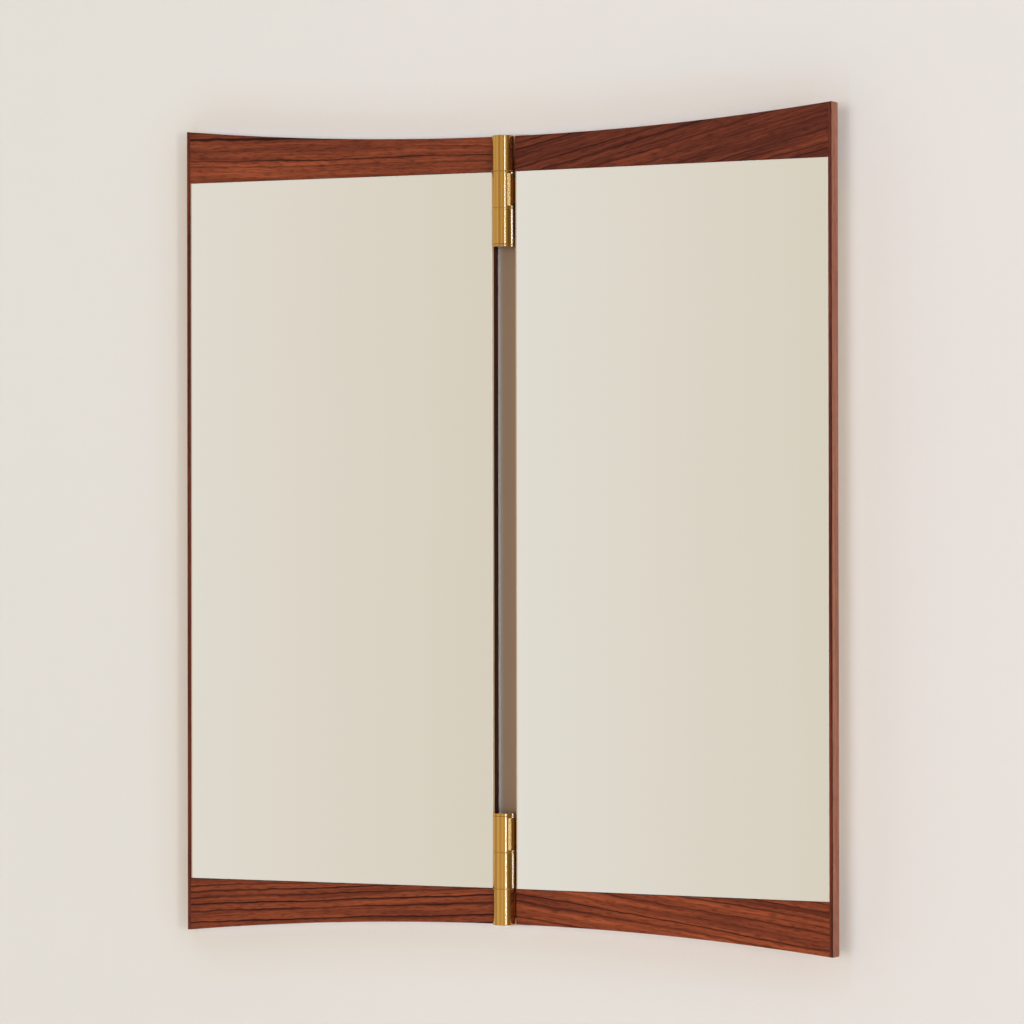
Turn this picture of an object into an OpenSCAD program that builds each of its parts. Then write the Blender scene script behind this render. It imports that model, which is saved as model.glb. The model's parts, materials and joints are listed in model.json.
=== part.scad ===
// Shutter mirror: two hinged wall mirror leaves with walnut frames and brass barrel hinges.
// The left leaf hangs on two wall rails. The right leaf swings on the hinges.
// Frame: X to the right, Y into the wall, Z up. The origin lies on the wall plane, at the
// centre of the four wall screw holes, behind the middle of the fixed leaf.
// A leaf is drawn in leaf coordinates: u from the hinge axis outwards, v from the
// front plane of the leaf towards the wall, z up from mid-height.

/* [Leaves] */
// Width of each leaf
leaf_w = 333; // [300:1:420]
// Thickness of each leaf
leaf_t = 15; // [14:0.5:20]
// Rise of the curved top edge from the hinge edge to the outer edge
edge_rise = 17.5; // [8:0.5:40]
// Clear width between the two leaves
leaf_gap = 24.8; // [24:0.2:32]
// Angle by which the swing leaf stands forward as shown
rest_angle = 4.5; // [0:0.5:170]

/* [Wooden frame] */
// Height of the top and bottom rails at the hinge edge
rail_h = 34.2; // [24:0.2:60]
// Width of the thin outer stile
outer_stile_w = 3.6; // [2.4:0.2:8]
// Width of the inner stile behind the glass
inner_stile_w = 42; // [40:1:60]
// Depth of the backboard's back face behind the frame's back face
back_recess = 0.5; // [0.2:0.1:1]
// Thickness of the tongue round the backboard
tongue_t = 4; // [3:0.5:5]
// Length of that tongue
tongue_l = 6; // [4:0.5:7]
// Radius of the dowels that join the rails to the inner stile
dowel_r = 3; // [2:0.25:3.25]
// Length of a dowel
dowel_l = 30; // [20:1:34]
// Clearance round a tongue or a dowel
wood_fit = 0.1; // [0.05:0.05:0.2]

/* [Mirror] */
// Height of the glass
glass_h = 696; // [560:2:900]
// Thickness of the glass
glass_t = 4; // [3:0.5:5]
// Depth of the glass behind the frame's front plane
glass_recess = 0.3; // [0.1:0.1:0.6]
// Gap between the glass and the wood around it
glass_gap = 0.3; // [0.2:0.1:0.5]
// Thickness of the mounting tape
tape_t = 0.8; // [0.5:0.1:1.2]
// Width of a strip of mounting tape
tape_w = 20; // [10:1:30]
// Number of strips of mounting tape
tape_count = 4; // [3:1:5]
// Distance of the tape from the edges of the glass
tape_inset = 24; // [15:1:40]

/* [Hinges] */
// Clearance between the barrel and the edge of a leaf
barrel_clear = 1.4; // [1.2:0.1:2]
// Distance of the hinge axis in front of the front plane of a leaf
barrel_forward = 1.8; // [1:0.1:4]
// Length of one knuckle
knuckle_l = 34.8; // [28:0.2:38]
// Chamfer round the ends of a knuckle and of the pin's head
barrel_edge = 0.4; // [0.2:0.1:0.6]
// Depth of the flat that is milled beside the edge of the glass
flat_depth = 1.7; // [1:0.1:2.4]
// Angle by which that flat is turned towards the front
flat_turn = 8.5; // [0:0.5:14]
// Length of full round left at each end of a knuckle, past the flat
flat_end = 1.6; // [1:0.1:4]
// Height of the barrel's outer end above the rail
barrel_proud = 0.4; // [0:0.1:1]
// Radius of the hinge pin
pin_r = 4; // [3:0.25:5]
// Running clearance between the pin and a knuckle's bore
pin_fit = 0.05; // [0.02:0.01:0.08]
// Thickness of the pin's head
pin_head_t = 2.5; // [1.5:0.1:4]
// Depth of the pin's far end below the barrel's outer end
pin_end_depth = 0.8; // [0.4:0.1:2]
// Thickness of the washer between two knuckles
washer_t = 0.5; // [0.4:0.1:0.8]
// Play on each face of a washer
washer_play = 0.05; // [0.03:0.01:0.1]
// Thickness of the neck that joins a knuckle to its plate
neck_t = 3; // [2.4:0.1:3.6]
// Relief at each end of a knuckle where its neck stops short
neck_relief = 5.4; // [4.2:0.2:9]
// Distance of the neck's back face behind the plate's front edge
neck_seat = 2.05; // [1.5:0.05:2.6]
// Thickness of the hinge plate let into the edge of the leaf
plate_t = 2.5; // [2.2:0.1:3.5]
// Wood left in front of and behind the hinge plate
plate_wall = 0.55; // [0.4:0.05:0.8]
// Length by which the plate stops short of the barrel at each end
plate_end = 2; // [1.5:0.1:5]

/* [Hinge screws] */
// Radius of a hinge screw's shank
hinge_screw_r = 1.6; // [1.3:0.1:1.8]
// Radius of a hinge screw's head
hinge_head_r = 3; // [2.8:0.1:3.2]
// Length of a hinge screw
hinge_screw_l = 18; // [12:1:19]
// Clearance round every screw
screw_fit = 0.05; // [0.03:0.01:0.1]

/* [Wall rails] */
// Thickness of the metal of the rails and hangers
rail_metal_t = 1.7; // [1.5:0.1:2]
// Clearance between the hooked lips
rail_play = 0.4; // [0.3:0.1:0.6]
// Height of a hooked lip
lip_h = 9; // [6:0.5:12]
// Height of the screwed flange
flange_h = 18; // [16:0.5:24]
// Distance between the two wall screws of one rail
wall_screw_x = 180; // [120:5:190]
// Distance of the wall screws from the top or bottom of the glass
wall_screw_drop = 88; // [60:2:160]
// Radius of a wall screw hole
wall_hole_r = 2.6; // [2:0.1:3]
// Length of a wall rail past its screw hole
rail_end = 20; // [12:1:24]
// Length by which a hanger is shorter than its wall rail, at each end
hanger_set_in = 10; // [2:1:16]
// Number of screws in one hanger
hanger_screw_count = 3; // [2:1:5]
// Radius of a hanger screw's shank
hanger_screw_r = 1.5; // [1.2:0.1:1.8]
// Radius of a hanger screw's head
hanger_head_r = 3.2; // [2.8:0.1:3.6]
// Height of a hanger screw's head
hanger_head_t = 1.6; // [1.2:0.1:2]
// Length of a hanger screw's thread
hanger_screw_l = 9; // [7:0.5:10]

/* [Bumpers] */
// Radius of a wall bumper
bumper_r = 7; // [5:0.5:9]
// Distance of a bumper from the outer edge of the leaf
bumper_inset = 28; // [20:1:50]
// Distance of a bumper from the top or bottom of the glass
bumper_drop = 34; // [20:1:80]

/* [Hidden] */

walnut = "#7b432c";
plywood = "#b99a6b";
silvered = "#d9d6cc";
brass = "#c08f4d";
aluminium = "#b4b6b8";
zinc = "#a7a9aa";
tape_grey = "#6f7072";
rubber_grey = "#3a3a3b";
beech = "#c9a77c";

eps = 0.01;
small_fn = 48;
round_fn = 96;
// facets of the very large circle that cuts the curved edges
edge_fn = 1440;

// places across the leaf, from the hinge axis
inner_u = leaf_gap / 2;
outer_u = inner_u + leaf_w;
lip_u = outer_u - outer_stile_w;
board_u = inner_u + inner_stile_w;
edge_r = (pow(leaf_w, 2) + pow(edge_rise, 2)) / (2 * edge_rise);

// places through the thickness, from the front plane
glass_back_v = glass_recess + glass_t;
core_v = glass_back_v + tape_t;
board_back_v = leaf_t - back_recess;
board_t = board_back_v - core_v;
tongue_v = core_v + (board_t - tongue_t) / 2;
stile_mid_v = (core_v + leaf_t) / 2;

// heights, from mid-height
rail_z = glass_h / 2 + glass_gap;
half_h_inner = rail_z + rail_h;
half_h_outer = half_h_inner + edge_rise;

// hinge
barrel_r = inner_u - barrel_clear;
plate_v = core_v + plate_wall;
plate_w = leaf_t - core_v - 2 * plate_wall;
axis_v = -barrel_forward;
neck_back_v = plate_v + neck_seat;
knuckle_gap = washer_t + 2 * washer_play;
pitch = knuckle_l + knuckle_gap;
barrel_top = half_h_inner + barrel_proud;
barrel_bottom = barrel_top - 3 * knuckle_l - 2 * knuckle_gap;
knuckle_mid = [for (i = [0:2]) barrel_top - knuckle_l / 2 - i * pitch];
neck_h = knuckle_l - 2 * neck_relief;
head_play = 0.1;
screw_v = leaf_t - plate_wall - hinge_head_r - 0.2;
head_depth = hinge_head_r - hinge_screw_r;
washer_r = barrel_r - barrel_edge;
washer_bore = pin_r + 0.3;

// hanging
stack_t = 4 * rail_metal_t + 3 * rail_play;
standoff = stack_t - back_recess;
hook_seat = 0.05;
rail_l = wall_screw_x + 2 * rail_end;
hanger_l = rail_l - 2 * hanger_set_in;
hook_z = flange_h / 2 + lip_h;
bumper_h = stack_t;
wall_screw_z = glass_h - 2 * wall_screw_drop;

// the hinge axis in the row frame
axis_x = inner_u + leaf_w / 2;
front_y = -standoff - leaf_t;
axis_y = front_y + axis_v;

// ---- placing a leaf ----

module fixed_side() {
    translate([axis_x, front_y, 0]) mirror([1, 0, 0]) children();
}

module swing_side() {
    translate([axis_x, axis_y, 0]) rotate([0, 0, -rest_angle]) translate([0, -axis_v, 0]) children();
}

module at_both_ends() {
    children();
    mirror([0, 0, 1]) children();
}

// a shape drawn in u and z, made thick from v0 to v1
module slab(v0, v1) {
    translate([0, v1, 0]) rotate([90, 0, 0]) linear_extrude(v1 - v0) children();
}

module block(u, v, z) {
    translate([u[0], v[0], z[0]]) cube([u[1] - u[0], v[1] - v[0], z[1] - z[0]]);
}

// a cylinder along +u that starts at u
module along_u(u, v, z, r, l, r_end = -1) {
    translate([u, v, z]) rotate([0, 90, 0]) cylinder(r1 = r, r2 = r_end < 0 ? r : r_end, h = l, $fn = small_fn);
}

// the circle above a leaf that cuts its curved top edge
module edge_circle() {
    translate([inner_u, half_h_inner + edge_r]) circle(r = edge_r, $fn = edge_fn);
}

// ---- wooden frame ----

module dowel_places() {
    first = hinge_screw_l + dowel_r + 1.2;
    last = inner_stile_w - tongue_l - wood_fit - dowel_r - 1.2;
    for (u = [first, last]) translate([inner_u + u, stile_mid_v, rail_z]) children();
}

module dowel_holes() {
    hole_l = dowel_l + 4 * wood_fit;
    dowel_places() translate([0, 0, -hole_l / 2]) cylinder(r = dowel_r + screw_fit, h = hole_l, $fn = small_fn);
}

// the pocket for a hinge plate, with the holes for its screws
module hinge_pocket() {
    block([inner_u - 1, inner_u + plate_t + wood_fit],
          [plate_v - wood_fit, plate_v + plate_w + wood_fit],
          [barrel_bottom + plate_end - wood_fit, barrel_top - plate_end + wood_fit]);
    for (z = knuckle_mid)
        along_u(inner_u, screw_v, z, hinge_screw_r + screw_fit, hinge_screw_l + 4 * wood_fit);
}

module top_rail() {
    color(walnut) difference() {
        slab(0, leaf_t) difference() {
            translate([inner_u, rail_z]) square([lip_u - inner_u, half_h_outer - rail_z]);
            edge_circle();
        }
        block([board_u - wood_fit, lip_u + 1],
              [tongue_v - wood_fit, tongue_v + tongue_t + wood_fit],
              [rail_z - 1, rail_z + tongue_l + wood_fit]);
        dowel_holes();
        hinge_pocket();
    }
}

module bottom_rail() {
    mirror([0, 0, 1]) top_rail();
}

module outer_stile() {
    color(walnut) slab(0, leaf_t) difference() {
        translate([lip_u, -half_h_outer]) square([outer_stile_w, 2 * half_h_outer]);
        edge_circle();
        mirror([0, 1]) edge_circle();
    }
}

module inner_stile() {
    color(walnut) difference() {
        block([inner_u, board_u], [core_v, leaf_t], [-rail_z, rail_z]);
        block([board_u - tongue_l - wood_fit, board_u + 1],
              [tongue_v - wood_fit, tongue_v + tongue_t + wood_fit],
              [-rail_z - 1, rail_z + 1]);
        at_both_ends() {
            dowel_holes();
            hinge_pocket();
        }
    }
}

module backboard() {
    color(plywood) difference() {
        union() {
            block([board_u, lip_u], [core_v, board_back_v], [-rail_z, rail_z]);
            block([board_u - tongue_l, lip_u],
                  [tongue_v, tongue_v + tongue_t],
                  [-rail_z, rail_z]);
            block([board_u, lip_u],
                  [tongue_v, tongue_v + tongue_t],
                  [-rail_z - tongue_l, rail_z + tongue_l]);
        }
        children();
    }
}

module dowels() {
    color(beech) at_both_ends() dowel_places() {
        chamfer = dowel_r / 4;
        cylinder(r = dowel_r, h = dowel_l - 2 * chamfer, center = true, $fn = small_fn);
        for (m = [0, 1]) mirror([0, 0, m]) translate([0, 0, dowel_l / 2 - chamfer])
            cylinder(r1 = dowel_r, r2 = dowel_r - chamfer, h = chamfer, $fn = small_fn);
    }
}

// ---- mirror ----

module mirror_glass() {
    color(silvered) block([inner_u, lip_u - glass_gap], [glass_recess, glass_back_v], [-glass_h / 2, glass_h / 2]);
}

module mirror_tape() {
    first = inner_u + tape_inset;
    step = (lip_u - tape_inset - tape_w - first) / (tape_count - 1);
    tape_h = glass_h - 2 * tape_inset;
    color(tape_grey) for (i = [0:tape_count - 1])
        block([first + i * step, first + i * step + tape_w],
              [glass_back_v, core_v],
              [-tape_h / 2, tape_h / 2]);
}

// ---- bumpers ----

// a rubber dome turned about its own axis, which points at the wall
module bumper() {
    round_r = bumper_r / 3;
    translate([0, board_back_v, 0]) rotate([-90, 0, 0]) rotate_extrude($fn = small_fn) {
        square([bumper_r, bumper_h - round_r]);
        square([bumper_r - round_r, bumper_h]);
        translate([bumper_r - round_r, bumper_h - round_r]) intersection() {
            circle(r = round_r, $fn = small_fn);
            square(round_r);
        }
    }
}

module swing_bumpers() {
    for (m = [-1, 1])
        color(rubber_grey) translate([outer_u - bumper_inset, 0, m * (glass_h / 2 - bumper_drop)]) bumper();
}

module fixed_bumpers() {
    for (u = [board_u + bumper_inset, outer_u - bumper_inset])
        color(rubber_grey) translate([u, 0, -glass_h / 2 + bumper_drop]) bumper();
}

// ---- hinges: drawn for the upper one, the lower one is its mirror image in z ----

// a round bar with both ends chamfered, standing on z = 0
module edged_cylinder(r, h, edge) {
    cylinder(r1 = r - edge, r2 = r, h = edge, $fn = round_fn);
    translate([0, 0, edge]) cylinder(r = r, h = h - 2 * edge, $fn = round_fn);
    translate([0, 0, h - edge]) cylinder(r1 = r, r2 = r - edge, h = edge, $fn = round_fn);
}

// The number of a knuckle counts down from the barrel's outer end. Knuckle 0 stands
// beside the rail. The others stand beside the glass and are milled flat towards it.
module knuckle(number) {
    z = knuckle_mid[number];
    difference() {
        union() {
            difference() {
                translate([0, axis_v, z - knuckle_l / 2]) edged_cylinder(barrel_r, knuckle_l, barrel_edge);
                if (number > 0) translate([0, axis_v, z]) rotate([0, 0, -flat_turn])
                    block([barrel_r - flat_depth, barrel_r + 1],
                          [-barrel_r, barrel_r],
                          [flat_end - knuckle_l / 2, knuckle_l / 2 - flat_end]);
            }
            block([0, inner_u + eps],
                  [neck_back_v - neck_t, neck_back_v],
                  [z - neck_h / 2, z + neck_h / 2]);
        }
        translate([0, axis_v, z - knuckle_l / 2 - 1])
            cylinder(r = pin_r + pin_fit, h = knuckle_l + 2, $fn = round_fn);
    }
}

module hinge_leaf(numbers) {
    color(brass) difference() {
        union() {
            for (n = numbers) knuckle(n);
            block([inner_u, inner_u + plate_t],
                  [plate_v, plate_v + plate_w],
                  [barrel_bottom + plate_end, barrel_top - plate_end]);
        }
        for (z = knuckle_mid) {
            along_u(inner_u - 1, screw_v, z, hinge_screw_r + screw_fit, plate_t + 2);
            along_u(inner_u, screw_v, z, hinge_head_r + screw_fit, head_depth, hinge_screw_r + screw_fit);
        }
    }
}

module hinge_pin() {
    slot_w = 1.4;
    slot_depth = 1;
    head_z = barrel_bottom - head_play - pin_head_t;
    pin_l = barrel_top - pin_end_depth - head_z;
    color(brass) translate([0, axis_v, 0]) difference() {
        translate([0, 0, head_z]) {
            edged_cylinder(pin_r, pin_l, barrel_edge);
            edged_cylinder(barrel_r, pin_head_t, barrel_edge);
        }
        translate([-barrel_r * 0.7, -slot_w / 2, head_z - 1]) cube([barrel_r * 1.4, slot_w, slot_depth + 1]);
    }
}

module hinge_washers() {
    color(brass) for (i = [0, 1]) translate([0, axis_v, knuckle_mid[i] - knuckle_l / 2 - washer_play - washer_t])
        difference() {
            cylinder(r = washer_r, h = washer_t, $fn = round_fn);
            translate([0, 0, -1]) cylinder(r = washer_bore, h = washer_t + 2, $fn = round_fn);
        }
}

module hinge_screws() {
    tip = 2.5;
    recess_w = 0.7;
    recess_l = 3;
    recess_depth = 1;
    color(brass) at_both_ends() for (z = knuckle_mid) difference() {
        union() {
            along_u(inner_u + screw_fit, screw_v, z, hinge_head_r, head_depth, hinge_screw_r);
            along_u(inner_u + screw_fit, screw_v, z, hinge_screw_r, hinge_screw_l - tip);
            along_u(inner_u + hinge_screw_l - tip, screw_v, z, hinge_screw_r, tip, hinge_screw_r / 5);
        }
        for (a = [0, 90]) translate([inner_u, screw_v, z]) rotate([a, 0, 0])
            cube([2 * recess_depth, recess_w, recess_l], center = true);
    }
}

// ---- wall rails and hangers ----

// a shape drawn as distance from the wall and height, drawn out along X
module wall_profile(length) {
    translate([length / 2, 0, 0]) rotate([90, 0, -90]) linear_extrude(length) children();
}

module wall_rail() {
    lip_y = 2 * (rail_metal_t + rail_play);
    color(aluminium) difference() {
        wall_profile(rail_l) {
            translate([0, -flange_h / 2]) square([rail_metal_t, flange_h]);
            translate([0, flange_h / 2 - rail_metal_t]) square([lip_y + rail_metal_t, rail_metal_t]);
            translate([lip_y, flange_h / 2 - rail_metal_t]) square([rail_metal_t, lip_h + rail_metal_t]);
        }
        for (m = [-1, 1]) translate([m * wall_screw_x / 2, 1, 0]) rotate([90, 0, 0])
            cylinder(r = wall_hole_r, h = rail_metal_t + 2, $fn = small_fn);
    }
}

module hanger_screw_places() {
    first = -hanger_l / 2 + rail_end;
    step = -2 * first / (hanger_screw_count - 1);
    z = hook_z + hook_seat + rail_metal_t + flange_h / 2;
    for (i = [0:hanger_screw_count - 1]) translate([first + i * step, -stack_t, z]) children();
}

module hanger() {
    web_z = hook_z + hook_seat;
    base_y = stack_t - rail_metal_t;
    lip_y = rail_metal_t + rail_play;
    color(aluminium) difference() {
        wall_profile(hanger_l) {
            translate([base_y, web_z]) square([rail_metal_t, flange_h + rail_metal_t]);
            translate([lip_y, web_z]) square([stack_t - lip_y, rail_metal_t]);
            translate([lip_y, web_z - lip_h + rail_play]) square([rail_metal_t, lip_h - rail_play + rail_metal_t]);
        }
        hanger_screw_places() rotate([-90, 0, 0]) translate([0, 0, -1])
            cylinder(r = hanger_screw_r + screw_fit, h = rail_metal_t + 2, $fn = small_fn);
    }
}

module one_hanger_screw() {
    tip = 2;
    recess_w = 0.8;
    recess_l = 3.4;
    recess_depth = 0.9;
    head_z = rail_metal_t + hanger_head_t;
    difference() {
        rotate([-90, 0, 0]) {
            translate([0, 0, rail_metal_t]) cylinder(r = hanger_head_r, h = hanger_head_t, $fn = small_fn);
            translate([0, 0, tip - hanger_screw_l])
                cylinder(r = hanger_screw_r, h = hanger_screw_l - tip + rail_metal_t + eps, $fn = small_fn);
            translate([0, 0, -hanger_screw_l])
                cylinder(r1 = hanger_screw_r / 5, r2 = hanger_screw_r, h = tip, $fn = small_fn);
        }
        for (a = [0, 90]) translate([0, head_z, 0]) rotate([0, a, 0])
            cube([recess_l, 2 * recess_depth, recess_w], center = true);
    }
}

module hanger_screws() {
    color(zinc) for (m = [-1, 1]) translate([0, 0, m * wall_screw_z / 2]) hanger_screw_places() one_hanger_screw();
}

module hanger_pilot_holes() {
    hole_l = hanger_screw_l + 0.2;
    for (m = [-1, 1]) translate([0, 0, m * wall_screw_z / 2]) hanger_screw_places()
        rotate([90, 0, 0]) translate([0, 0, -1])
            cylinder(r = hanger_screw_r + screw_fit, h = hole_l + 1, $fn = small_fn);
}

module fixed_backboard() {
    color(plywood) difference() {
        fixed_side() backboard();
        hanger_pilot_holes();
    }
}

module at_rail(m) {
    translate([0, 0, m * wall_screw_z / 2]) children();
}

// ---- nodes ----

fixed_backboard();
fixed_side() top_rail();  // fixed_top_rail
fixed_side() bottom_rail();  // fixed_bottom_rail
fixed_side() outer_stile();  // fixed_outer_stile
fixed_side() inner_stile();  // fixed_inner_stile
fixed_side() mirror_glass();  // fixed_mirror_glass
fixed_side() mirror_tape();  // fixed_mirror_tape
fixed_side() dowels();  // fixed_dowels
fixed_side() fixed_bumpers();  // fixed_wall_bumpers
swing_side() backboard();  // swing_backboard
swing_side() top_rail();  // swing_top_rail
swing_side() bottom_rail();  // swing_bottom_rail
swing_side() outer_stile();  // swing_outer_stile
swing_side() inner_stile();  // swing_inner_stile
swing_side() mirror_glass();  // swing_mirror_glass
swing_side() mirror_tape();  // swing_mirror_tape
swing_side() dowels();  // swing_dowels
swing_side() swing_bumpers();  // swing_wall_bumpers
fixed_side() hinge_leaf([0, 2]);  // upper_hinge_fixed_leaf
swing_side() hinge_leaf([1]);  // upper_hinge_swing_leaf
fixed_side() hinge_pin();  // upper_hinge_pin
fixed_side() hinge_washers();  // upper_hinge_washers
fixed_side() mirror([0, 0, 1]) hinge_leaf([1]);  // lower_hinge_fixed_leaf
swing_side() mirror([0, 0, 1]) hinge_leaf([0, 2]);  // lower_hinge_swing_leaf
swing_side() mirror([0, 0, 1]) hinge_pin();  // lower_hinge_pin
fixed_side() mirror([0, 0, 1]) hinge_washers();  // lower_hinge_washers
fixed_side() hinge_screws();  // fixed_hinge_screws
swing_side() hinge_screws();  // swing_hinge_screws
at_rail(1) wall_rail();  // upper_wall_rail
at_rail(-1) wall_rail();  // lower_wall_rail
at_rail(1) hanger();  // upper_hanger
at_rail(-1) hanger();  // lower_hanger
hanger_screws();
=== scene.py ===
# %% [markdown]
# # A two-leaf wall mirror, dressed in Blender
# The mirror has two tall leaves in thin walnut frames. Two brass barrel hinges join them,
# so that the right leaf swings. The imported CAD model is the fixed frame: it says where every
# piece goes and how it moves. This lesson gives each piece its real edges and its real
# surface. Every length is in metres, in the frame's own axes: X to the right, Y into the
# wall, Z up.

# %% Load the frame
import json
import math

import bmesh
import bpy
from mathutils import Matrix, Vector


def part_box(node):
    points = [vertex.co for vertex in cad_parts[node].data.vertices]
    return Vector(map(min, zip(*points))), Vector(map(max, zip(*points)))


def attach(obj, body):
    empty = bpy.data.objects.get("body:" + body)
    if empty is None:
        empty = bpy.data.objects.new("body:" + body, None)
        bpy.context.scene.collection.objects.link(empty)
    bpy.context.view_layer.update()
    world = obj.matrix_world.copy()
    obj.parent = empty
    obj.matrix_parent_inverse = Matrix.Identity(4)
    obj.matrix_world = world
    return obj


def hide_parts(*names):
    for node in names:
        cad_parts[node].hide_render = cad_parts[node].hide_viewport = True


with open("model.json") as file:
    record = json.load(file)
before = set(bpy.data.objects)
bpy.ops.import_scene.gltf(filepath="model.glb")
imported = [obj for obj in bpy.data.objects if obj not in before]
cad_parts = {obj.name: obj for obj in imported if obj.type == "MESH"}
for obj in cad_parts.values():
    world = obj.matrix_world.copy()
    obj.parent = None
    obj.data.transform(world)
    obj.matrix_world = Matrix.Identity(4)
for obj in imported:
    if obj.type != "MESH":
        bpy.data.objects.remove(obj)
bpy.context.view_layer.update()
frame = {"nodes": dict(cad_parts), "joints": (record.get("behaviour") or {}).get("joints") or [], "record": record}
MM = 0.001

# %% [markdown]
# ## Sizes that come from the frame
# A leaf is easiest to model flat and square to the axes. So each leaf piece is made in leaf
# coordinates: x runs from the hinge axis outwards, y from the front of the leaf to the wall,
# and z up from mid-height. The large sizes are read from the boxes of the CAD nodes, so a
# new pack moves the looks along with it. Small ones that no box shows are the CAD's own.

# %% Measure the leaves
joint = frame["joints"][0]
axis_x, axis_y = joint["pos_m"][0], joint["pos_m"][1]
SWING_TURN = math.radians(joint["range_deg"][0])

rail_low, rail_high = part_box("fixed_top_rail")
stile_low, stile_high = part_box("fixed_outer_stile")
glass_low, glass_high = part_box("fixed_mirror_glass")
inner_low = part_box("fixed_inner_stile")[0]
board_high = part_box("fixed_backboard")[1]

front_y = rail_low.y
LEAF_T = rail_high.y - rail_low.y
INNER_U = axis_x - rail_high.x
LIP_U = axis_x - rail_low.x
OUTER_U = axis_x - stile_low.x
BOARD_U = axis_x - inner_low.x
GLASS_END_U = axis_x - glass_low.x
GLASS_FRONT_V = glass_low.y - front_y
GLASS_BACK_V = glass_high.y - front_y
CORE_V = inner_low.y - front_y
BOARD_BACK_V = board_high.y - front_y
HALF_GLASS = glass_high.z
RAIL_Z = rail_low.z
HALF_OUTER = stile_high.z
axis_v = axis_y - front_y
print("A leaf is", round((OUTER_U - INNER_U) / MM, 1), "mm wide and", round(LEAF_T / MM, 1), "mm thick")
print("The glass starts", round(GLASS_FRONT_V / MM, 2), "mm behind the front of the frame")

# %% Measure the hinges
pin_low, pin_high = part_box("upper_hinge_pin")
barrel_low, barrel_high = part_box("upper_hinge_fixed_leaf")
plate_low, plate_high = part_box("upper_hinge_swing_leaf")

BARREL_R = (pin_high.x - pin_low.x) / 2
BARREL_TOP = barrel_high.z
BARREL_BOTTOM = barrel_low.z
BARREL_PROUD = 0.4 * MM
HALF_INNER = BARREL_TOP - BARREL_PROUD
PLATE_TOP = plate_high.z
PLATE_BOTTOM = plate_low.z
PLATE_T = axis_x - barrel_low.x - INNER_U
PLATE_WALL = 0.55 * MM
PLATE_V = CORE_V + PLATE_WALL
PLATE_BACK_V = LEAF_T - PLATE_WALL
PIN_HEAD_Z = pin_low.z
PIN_TOP = pin_high.z
PIN_HEAD_T = 2.5 * MM
PIN_R = 4 * MM
PIN_FIT = 0.05 * MM
WASHER_PLAY = 0.05 * MM
WASHER_T = 0.5 * MM
KNUCKLE_GAP = WASHER_T + 2 * WASHER_PLAY
KNUCKLE_L = (BARREL_TOP - BARREL_BOTTOM - 2 * KNUCKLE_GAP) / 3
KNUCKLE_MID = [BARREL_TOP - KNUCKLE_L / 2 - i * (KNUCKLE_L + KNUCKLE_GAP) for i in range(3)]
NECK_T = 3 * MM
NECK_BACK_V = PLATE_V + 2.05 * MM
NECK_RELIEF = 5.4 * MM
FLAT_DEPTH = 1.7 * MM
FLAT_TURN = math.radians(7.7)
FLAT_END = 1.6 * MM
print("A knuckle is", round(KNUCKLE_L / MM, 2), "mm long and", round(2 * BARREL_R / MM, 1), "mm thick")

# %% [markdown]
# The fixed leaf is the mirror image of the leaf coordinates. The swing leaf is turned
# forward about the hinge axis, as far as it stands open in the photograph.

# %% From leaf coordinates to the frame
LEAF_TURN = {"fixed": 0, "swing": SWING_TURN}
LEAF_PLACE = {
    "fixed": Matrix.Translation((axis_x, front_y, 0)) @ Matrix.Scale(-1, 4, (1, 0, 0)),
    "swing": Matrix.Translation((axis_x, axis_y, 0)) @ Matrix.Rotation(SWING_TURN, 4, "Z")
    @ Matrix.Translation((0, -axis_v, 0)),
}
print("The swing leaf is turned by", round(math.degrees(SWING_TURN), 1), "degrees")

# %% [markdown]
# ## The curved edge
# The top edge of each leaf is one shallow arc. It is level at the hinge and rises to the
# outer corner, and the bottom edge is its mirror image. A circle through those two points
# that is level at the first one has its radius from the width and the rise alone.

# %% The arc of the edge
edge_width = OUTER_U - INNER_U
edge_rise = HALF_OUTER - HALF_INNER
EDGE_R = (edge_width ** 2 + edge_rise ** 2) / (2 * edge_rise)


def edge_z(u):
    """Height of the curved top edge at a distance u from the hinge axis."""
    return HALF_INNER + EDGE_R - math.sqrt(EDGE_R ** 2 - (u - INNER_U) ** 2)


print("The edge rises", round(edge_rise / MM, 1), "mm on a radius of", round(EDGE_R, 3), "m")

# %% [markdown]
# ## The camera
# The photograph was taken from about four metres away with a long lens, some way to the
# right of the mirror and level with its middle. The camera is given by the point that it
# looks at, its distance and its three turns, which is how a photographer would note it down.

# %% Place the camera
AIM = Vector((187.232, -22.5, 17.415)) * MM
DISTANCE = 4.0982
YAW, PITCH, ROLL = (math.radians(angle) for angle in (22.956, 0.31, -0.089))
FOCAL_PX = 4223.1
IMAGE_PX = 1024
SENSOR = 36.0

forward = Vector((-math.sin(YAW) * math.cos(PITCH), math.cos(YAW) * math.cos(PITCH), math.sin(PITCH)))
level_right = Vector((math.cos(YAW), math.sin(YAW), 0))
level_up = level_right.cross(forward)
right = math.cos(ROLL) * level_right + math.sin(ROLL) * level_up
up = right.cross(forward)

lens = bpy.data.cameras.new("camera")
lens.sensor_width = SENSOR
lens.lens = FOCAL_PX * SENSOR / IMAGE_PX
camera = bpy.data.objects.new("camera", lens)
turn = Matrix((right, up, -forward)).transposed().to_4x4()
camera.matrix_world = Matrix.Translation(AIM - forward * DISTANCE) @ turn
bpy.context.scene.collection.objects.link(camera)
bpy.context.scene.camera = camera
bpy.context.scene.view_settings.view_transform = "Standard"
print("The lens is", round(lens.lens, 1), "mm long, at", [round(c, 3) for c in camera.location])

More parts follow.
